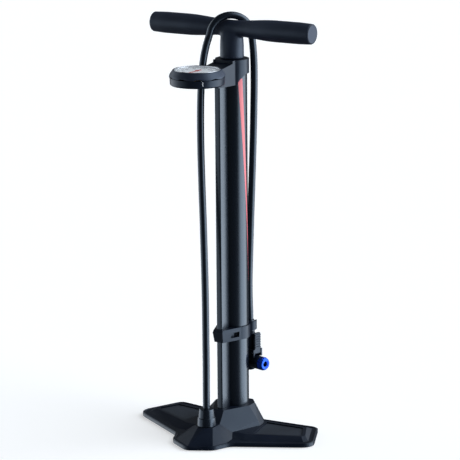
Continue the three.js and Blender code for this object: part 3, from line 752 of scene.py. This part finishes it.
def build_bead():
    """A raised lip along the foot's edge."""
    line = foot_outline(BEAD_INSET)
    vertices = []
    faces = []
    for i, point in enumerate(line):
        j = (i + 1) % len(line)
        ahead = (line[j] - line[i - 1]).normalized()
        side = Vector((ahead.y, -ahead.x))
        for k in range(BEAD_SIDES):
            a = 2 * math.pi * k / BEAD_SIDES
            m = (k + 1) % BEAD_SIDES
            flat = point + side * BEAD_R * math.cos(a)
            height = RIM_TOP + BEAD_R * BEAD_FLATNESS * math.sin(a)
            vertices.append(Vector((flat.x, flat.y, height)) * MM)
            faces.append((i * BEAD_SIDES + k, i * BEAD_SIDES + m, j * BEAD_SIDES + m, j * BEAD_SIDES + k))
    bead = outward(mesh_object("foot_rim_bead", vertices, faces), 80)
    stand_for(bead, MOULDED, "pump_body", "moulded_plastic")


def build_foot():
    build_bead()
    refined("foot_shell", MOULDED, "pump_body", "moulded_plastic", 0.9, 3, 12)
    refined("tread_pad_left", PAD, "pump_body", "pad_plastic", 0.35)
    refined("tread_pad_right", PAD, "pump_body", "pad_plastic", 0.35)
    refined("foot_plate", PLAIN, "pump_body", "plain_plastic", 0.25)
    for name in ("left", "right", "front", "middle"):
        refined("rubber_foot_" + name, RUBBER, "pump_body", "soft_rubber", 0.4)
    for name in ("plate_screw_1", "plate_screw_2", "barrel_bolt_1", "barrel_bolt_2"):
        refined(name, STEEL, "pump_body", "steel", 0.15)
    build_boot()


def build_boot():
    """The rubber sleeve where the hose leaves the foot: a wide base tier and a tapered neck."""
    low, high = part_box("hose_boot")
    bottom, top = low.z / MM, high.z / MM
    profile = [
        (BOOT_HOLE, bottom),
        (BOOT_BASE_R - 0.4, bottom),
        (BOOT_BASE_R, bottom + 0.5),
        (BOOT_BASE_R - 0.05, bottom + 1.4),
        (BOOT_TIER_R + 1.0, bottom + BOOT_TIER_Z - 1.4),
        (BOOT_TIER_R + 0.8, bottom + BOOT_TIER_Z - 0.7),
        (BOOT_TIER_R + 0.4, bottom + BOOT_TIER_Z - 0.3),
        (BOOT_TIER_R, bottom + BOOT_TIER_Z),
        (BOOT_TIER_R - 0.05, bottom + BOOT_TIER_Z + 0.6),
        (BOOT_TOP_R + 0.7, top - 2.2),
        (BOOT_TOP_R + 0.5, top - 0.9),
        (BOOT_TOP_R, top - 0.15),
        (BOOT_TOP_R - 0.6, top),
        (BOOT_HOLE, top),
        (BOOT_HOLE, bottom),
    ]
    centre = (low + high) / 2
    boot = lathe("hose_boot_turned", profile, (centre.x / MM, centre.y / MM, 0))
    stand_for(boot, HOSE, "pump_body", "hose_rubber", "hose_boot")


# ---- collar and gauge, in millimetres ----
def gauge_centre():
    low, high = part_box("gauge_ring")
    middle = (low + high) / 2
    return middle.x / MM, middle.y / MM


def surface_of_rows(name, rows, steps, place):
    """A closed ring from rows that give a radius and height at an angle. place turns them into a point."""
    vertices = []
    for row in rows:
        for i in range(steps):
            a = 2 * math.pi * i / steps
            radius, height = row(a)
            vertices.append(place(radius, height, a))
    faces = []
    for low in range(len(rows)):
        above = (low + 1) % len(rows)
        for i in range(steps):
            j = (i + 1) % steps
            faces.append((low * steps + i, low * steps + j, above * steps + j, above * steps + i))
    return outward(mesh_object(name, vertices, faces))


BEZEL_LOBES = 10
BEZEL_WAVE = 1.5  # how far the skirt's edge rises between the lobes
BEZEL_STEPS = 240
BEZEL_INNER_R = 32.1
BEZEL_LIP_R = 32.7
BEZEL_SHOULDER_R = 33.6
BEZEL_SKIRT_R = 38.1


def build_bezel():
    """A conical ring with a lobed lower edge."""
    x, y = gauge_centre()
    low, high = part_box("gauge_bezel")
    bottom, top = low.z / MM, high.z / MM

    def row(radius, height, rise=0.0, dip=0.0):
        def at(a):
            wave = (0.5 - 0.5 * math.cos(BEZEL_LOBES * a)) ** 2
            return radius - dip * wave, height + rise * BEZEL_WAVE * wave

        return at

    rows = [
        row(BEZEL_INNER_R, bottom + 1.6),
        row(BEZEL_SKIRT_R - 1.2, bottom, 1),
        row(BEZEL_SKIRT_R - 0.4, bottom, 1),
        row(BEZEL_SKIRT_R, bottom + 0.5, 1, 0.2),
        row(BEZEL_SKIRT_R, bottom + 2.0, 0.6, 0.5),
        row(BEZEL_SKIRT_R - 0.3, bottom + 2.9, 0.35, 0.6),
        row(BEZEL_SHOULDER_R + 2.6, top - 4.3, 0.1, 0.3),
        row(BEZEL_SHOULDER_R + 0.4, top - 1.5),
        row(BEZEL_SHOULDER_R - 0.1, top - 0.6),
        row(BEZEL_LIP_R, top),
        row(BEZEL_INNER_R, top),
    ]

    def place(radius, height, a):
        return Vector((x + radius * math.cos(a), y + radius * math.sin(a), height)) * MM

    made = surface_of_rows("bezel_lobed", rows, BEZEL_STEPS, place)
    # The bezel takes the black with the painted fill light.
    stand_for(made, FILL_LIT_BLACK, "bezel", "moulded_plastic", "gauge_bezel")


MARK_ANGLE = math.radians(-46)
MARK_LOW = (36.2, -0.45, 510.8)  # the mark's corners before its turn: outwards, across and up
MARK_HIGH = (37.55, 0.45, 516.6)


def build_mark():
    """A pale tick on the cup, below the bezel."""
    mark = block("cup_mark", MARK_LOW, MARK_HIGH)
    middle = Vector((*gauge_centre(), 0)) * MM
    mark.data.transform(Matrix.Translation(middle) @ Matrix.Rotation(MARK_ANGLE, 4, "Z"))
    bevel(mark, 0.2)
    stand_for(mark, SILVER, "pump_body", "silver_ring")


DIAL_START = -90
DIAL_SWEEP = 270
DIAL_MAJOR = 8
DIAL_MINOR = 5
DIAL_STEP = 20
LINE_OUTER_R = 27.8
MAJOR_LINE = (23.5, 0.8)  # inner radius and width
MINOR_LINE = (25.6, 0.35)
LINE_SINK = 0.02
LINE_RISE = 0.06
NUMBER_R = 19.6
NUMBER_SIZE = 4.6
NUMBER_RISE = 0.03


def bar_mesh(start, end, width, low, high):
    """A thin flat bar between two points of a plane, as vertices and faces."""
    along = (end - start).normalized()
    side = Vector((-along.y, along.x)) * width / 2
    corners = [start - side, end - side, end + side, start + side]
    vertices = [(p.x, p.y, z) for z in (low, high) for p in corners]
    faces = [(3, 2, 1, 0), (4, 5, 6, 7)]
    faces += [(i, (i + 1) % 4, 4 + (i + 1) % 4, 4 + i) for i in range(4)]
    return vertices, faces


def dial_way(part):
    """The direction from the dial's middle at a part of its sweep, clockwise."""
    angle = math.radians(DIAL_START - DIAL_SWEEP * part)
    return Vector((math.cos(angle), math.sin(angle)))


def build_dial():
    """The dial's lines and numbers, raised a little from its face."""
    centre = Vector(gauge_centre()) * MM
    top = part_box("gauge_dial")[1].z
    vertices = []
    faces = []
    for i in range(DIAL_MAJOR * DIAL_MINOR + 1):
        way = dial_way(i / (DIAL_MAJOR * DIAL_MINOR))
        inner, width = MINOR_LINE if i % DIAL_MINOR else MAJOR_LINE
        ends = [centre + way * radius * MM for radius in (inner, LINE_OUTER_R)]
        made, quads = bar_mesh(*ends, width * MM, top - LINE_SINK * MM, top + LINE_RISE * MM)
        faces += [[len(vertices) + v for v in quad] for quad in quads]
        vertices += made
    marks = mesh_object("dial_marks", vertices, faces)
    stand_for(marks, INK, "pump_body", "dial_white")
    for i in range(DIAL_MAJOR + 1):
        words = bpy.data.curves.new("number", "FONT")
        words.body = str(DIAL_STEP * i)
        words.size = NUMBER_SIZE * MM
        words.align_x = "CENTER"
        words.align_y = "CENTER"
        words.extrude = NUMBER_RISE * MM
        label = bpy.data.objects.new(f"dial_number_{i}", words)
        label.location = (*(centre + dial_way(i / DIAL_MAJOR) * NUMBER_R * MM), top + NUMBER_RISE * MM)
        scene.collection.objects.link(label)
        stand_for(label, INK, "pump_body", "dial_white")


DIAL_R = 31
DIAL_HOLE = 2.4
RING_INNER_R = 30.3
RING_OUTER_R = 31.8
LENS_R = 30
GAUGE_STEPS = 128


def build_gauge():
    refined("top_collar", MOULDED, "pump_body", "moulded_plastic", 0.7, 3)
    refined("rod_bush", PLAIN, "pump_body", "plain_plastic", 0.3)
    refined("gauge_cup", MOULDED, "pump_body", "moulded_plastic", 0.5)
    refined("gauge_works", BRASS, "pump_body", "brass", 0.3)
    build_bezel()
    build_mark()
    build_dial()
    x, y = gauge_centre()
    bottom, top = (corner.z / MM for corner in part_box("gauge_dial"))
    profile = [(DIAL_HOLE, bottom), (DIAL_R, bottom), (DIAL_R, top), (DIAL_HOLE, top), (DIAL_HOLE, bottom)]
    dial = lathe("dial_face", profile, (x, y, 0), GAUGE_STEPS)
    stand_for(dial, DIAL, "pump_body", "dial_white", "gauge_dial")
    bottom, top = (corner.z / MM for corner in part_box("gauge_ring"))
    profile = [
        (RING_INNER_R, bottom),
        (RING_OUTER_R, bottom),
        (RING_OUTER_R, top - 0.5),
        (RING_OUTER_R - 0.5, top),
        (RING_INNER_R + 0.5, top),
        (RING_INNER_R, top - 0.4),
        (RING_INNER_R, bottom),
    ]
    rim = lathe("ring_silver", profile, (x, y, 0), GAUGE_STEPS)
    stand_for(rim, SILVER, "pump_body", "silver_ring", "gauge_ring")
    bottom, top = (corner.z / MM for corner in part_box("gauge_lens"))
    profile = [
        (0, bottom),
        (LENS_R, bottom),
        (LENS_R, top - 0.3),
        (LENS_R - 0.4, top - 0.05),
        (LENS_R - 10, top - 0.02),
        (0, top),
    ]
    lens = lathe("lens_clear", profile, (x, y, 0), GAUGE_STEPS)
    stand_for(lens, LENS_CLEAR, "pump_body", "clear_glass", "gauge_lens")
    refined("gauge_needle", RED, "needle", "needle_red", 0.1)


# ---- handle, in millimetres ----
GRIP_Z = 573.0
GRIP_MIDDLE_R = 11.2
GRIP_SWELL = 3.6
GRIP_SWELL_SPAN = (8, 70)  # from the middle outwards
GRIP_TAPER = 0.9
GRIP_TAPER_SPAN = (105, 130.8)
GRIP_STATIONS = 40
GRIP_STEPS = 72
END_ROUND = 1.6
STEM_R = 16.5
ROD_HOLE_R = 6.8
ROD_HOLE_TOP = 568
SKIN_STEP = 0.9
PLUG_SPIGOT_R = 9.9
PLUG_SPIGOT_LENGTH = 20
PLUG_RIM_R = 13.6
PLUG_DISH_R = 11.1


def smoothstep(value, low, high):
    t = min(1, max(0, (value - low) / (high - low)))
    return t * t * (3 - 2 * t)


def grip_radius(x):
    """The grip is thin at the middle, swells outwards and tapers a little to its ends."""
    swell = GRIP_SWELL * smoothstep(abs(x), *GRIP_SWELL_SPAN)
    taper = GRIP_TAPER * smoothstep(abs(x), *GRIP_TAPER_SPAN)
    return GRIP_MIDDLE_R + swell - taper


def build_grip(bottom, half):
    """The bar and stem as one moulding with a hole for the rod."""
    steps = range(-GRIP_STATIONS, GRIP_STATIONS + 1)
    stations = [half * math.sin(math.pi / 2 * i / GRIP_STATIONS) for i in steps]
    profile = [(0, -half)]
    profile += [(grip_radius(x) - (END_ROUND if abs(x) > half - 0.2 else 0), x) for x in stations]
    profile += [(0, half)]
    grip = lathe("grip_moulded", profile, (0, 0, GRIP_Z), GRIP_STEPS, "X")
    profile = [
        (0, bottom),
        (STEM_R - 0.8, bottom),
        (STEM_R, bottom + 0.9),
        (STEM_R - 0.1, GRIP_Z - 21),
        (STEM_R - 0.6, GRIP_Z - 13),
        (STEM_R - 1.9, GRIP_Z - 6),
        (STEM_R - 5, GRIP_Z),
        (0, GRIP_Z + 3),
    ]
    combine(grip, "UNION", lathe("grip_stem", profile, (0, 0, 0), GRIP_STEPS))
    voxels = grip.modifiers.new("skin", "REMESH")
    voxels.mode = "VOXEL"
    voxels.voxel_size = SKIN_STEP * MM
    apply_modifiers(grip)
    soften_near_stem(grip)
    profile = [(0, bottom - 5), (ROD_HOLE_R, bottom - 5), (ROD_HOLE_R, ROD_HOLE_TOP), (0, ROD_HOLE_TOP)]
    combine(grip, "DIFFERENCE", lathe("rod_hole", profile, (0, 0, 0), 48))
    smooth(grip, 50)
    # The grip takes the black with the painted fill light.
    stand_for(grip, FILL_LIT_BLACK, "handle", "moulded_plastic", "handle_grip")


def build_plug(name, side, half):
    """An end plug: a spigot inside the grip, a rounded rim and a shallow dish."""
    profile = [
        (0, half - PLUG_SPIGOT_LENGTH),
        (PLUG_SPIGOT_R, half - PLUG_SPIGOT_LENGTH),
        (PLUG_SPIGOT_R, half - 2.7),
        (PLUG_RIM_R - 0.4, half - 2.7),
        (PLUG_RIM_R, half - 2.2),
        (PLUG_RIM_R - 0.1, half - 0.8),
        (PLUG_RIM_R - 0.7, half - 0.1),
        (PLUG_RIM_R - 1.4, half),
        (PLUG_DISH_R + 0.4, half - 0.3),
        (PLUG_DISH_R, half - 1.1),
        (0, half - 1.3),
    ]
    turned = [(radius, side * along) for radius, along in profile]
    plug = lathe("grip_end_" + name, turned, (0, 0, GRIP_Z), GRIP_STEPS, "X")
    stand_for(plug, END_BLACK, "handle", "plain_plastic", "grip_plug_" + name)


def build_handle():
    low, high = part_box("handle_grip")
    half = high.x / MM
    build_grip(low.z / MM, half)
    build_plug("left", -1, half)
    build_plug("right", 1, half)
    refined("handle_pin", STEEL, "handle", "steel", 0.2)
    refined("piston_rod", STEEL, "handle", "steel", 0.3)
    refined("piston_body", PLAIN, "handle", "moulded_plastic", 0.3)
    refined("piston_seal", RUBBER, "handle", "soft_rubber", 0.3)
    refined("piston_nut", STEEL, "handle", "steel", 0.3)


SOFT_HALF_WIDTH = 30
SOFT_DEPTH = 24  # how far below the bar's middle the stem is softened
SOFT_PASSES = 40
EVEN_PASSES = 3


def soften_near_stem(made):
    """Blends the stem into the bar, and evens the rest of the surface."""
    bm = bmesh.new()
    bm.from_mesh(made.data)
    lowest = (GRIP_Z - SOFT_DEPTH) * MM
    near = [v for v in bm.verts if abs(v.co.x) < SOFT_HALF_WIDTH * MM and v.co.z > lowest]
    axes = {"use_axis_x": True, "use_axis_y": True, "use_axis_z": True}
    for verts in [near] * SOFT_PASSES + [list(bm.verts)] * EVEN_PASSES:
        bmesh.ops.smooth_vert(bm, verts=verts, factor=0.5, **axes)
    bm.to_mesh(made.data)
    bm.free()


# ---- band and head, in millimetres ----
HEAD_WEB = ((12, 33.7, 94), (20.9, 35.6, 101.5))  # closes the far side of the lever's slot
HEAD_AXIS = (8, 29.8, 91)  # a point on the nozzle's axis, from which the cap's places are measured
HEAD_TURN = math.radians(-12)
CAP_BEGIN = 21.3
CAP_END = 30.5
CAP_HOLE_R = 4.2
CAP_R = 9.6
CAP_FACE_R = 8.9
CAP_DISH_R = 5.1
CAP_TEETH = 14
CAP_STEPS = 224


def build_cap():
    """The knurled cap: fluted sides, a plain chamfered front and a round valve hole."""

    def row(radius, along, depth=0.0):
        def at(a):
            flute = max(0.0, math.cos(CAP_TEETH * a)) ** 2
            return radius - depth * flute, along

        return at

    rows = [
        row(CAP_HOLE_R, CAP_BEGIN),
        row(CAP_R - 1.3, CAP_BEGIN),
        row(CAP_R - 0.4, CAP_BEGIN + 0.5, 0.5),
        row(CAP_R, CAP_BEGIN + 0.9, 1.1),
        row(CAP_R, CAP_END - 3.0, 1.1),
        row(CAP_R - 0.4, CAP_END - 2.5, 0.6),
        row(CAP_FACE_R, CAP_END - 2.2),
        row(CAP_FACE_R, CAP_END - 1.4),
        row(CAP_FACE_R - 0.8, CAP_END - 0.3),
        row(CAP_FACE_R - 1.3, CAP_END),
        row(CAP_DISH_R + 0.4, CAP_END),
        row(CAP_DISH_R + 0.1, CAP_END - 0.3),
        row(CAP_DISH_R, CAP_END - 0.8),
        row(CAP_HOLE_R, CAP_END - 0.9),
    ]
    head_turn = Matrix.Rotation(HEAD_TURN, 4, "Z")
    middle = Vector(HEAD_AXIS) * MM

    def place(radius, along, a):
        return head_turn @ (Vector((along, radius * math.cos(a), radius * math.sin(a))) * MM) + middle

    cap = surface_of_rows("cap_knurled", rows, CAP_STEPS, place)
    stand_for(cap, BLUE, "cap", "blue_aluminium", "head_cap")


def build_head():
    refined("band_clip", MOULDED, "pump_body", "moulded_plastic", 0.6, 3)
    refined("head_ferrule", HOSE, "pump_body", "hose_rubber", 0.5)
    web = block("head_web", *HEAD_WEB)
    refined("head_body", MOULDED, "pump_body", "moulded_plastic", 0.6, 3, extra=web)
    refined("head_lever", MOULDED, "lever", "moulded_plastic", 0.35)
    refined("lever_pin", STEEL, "pump_body", "steel", 0.15)
    refined("head_gland", RUBBER, "pump_body", "soft_rubber", 0.3)
    build_cap()


def build_inside():
    """The plug, check valve and pipe that the barrel and foot hide."""
    for node, material, body, slot in (
        ("end_plug", BRASS, "pump_body", "brass"),
        ("plug_o_ring", RUBBER, "pump_body", "soft_rubber"),
        ("valve_disc", RUBBER, "check_valve", "soft_rubber"),
        ("air_pipe", BRASS, "pump_body", "brass"),
    ):
        refined(node, material, body, slot, 0)
    # The spring is put on no body, and its place is baked into its mesh.
    spring = refined("valve_spring", STEEL, None, "steel", 0)
    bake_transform(spring)


scene.view_settings.view_transform = "Standard"
build_camera()
build_world()
build_floor()
build_head()
build_hose()
build_barrel()
build_foot()
build_gauge()
build_handle()
build_inside()

boxes = [[list(corner) for corner in box] for box in (cad_box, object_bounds())]
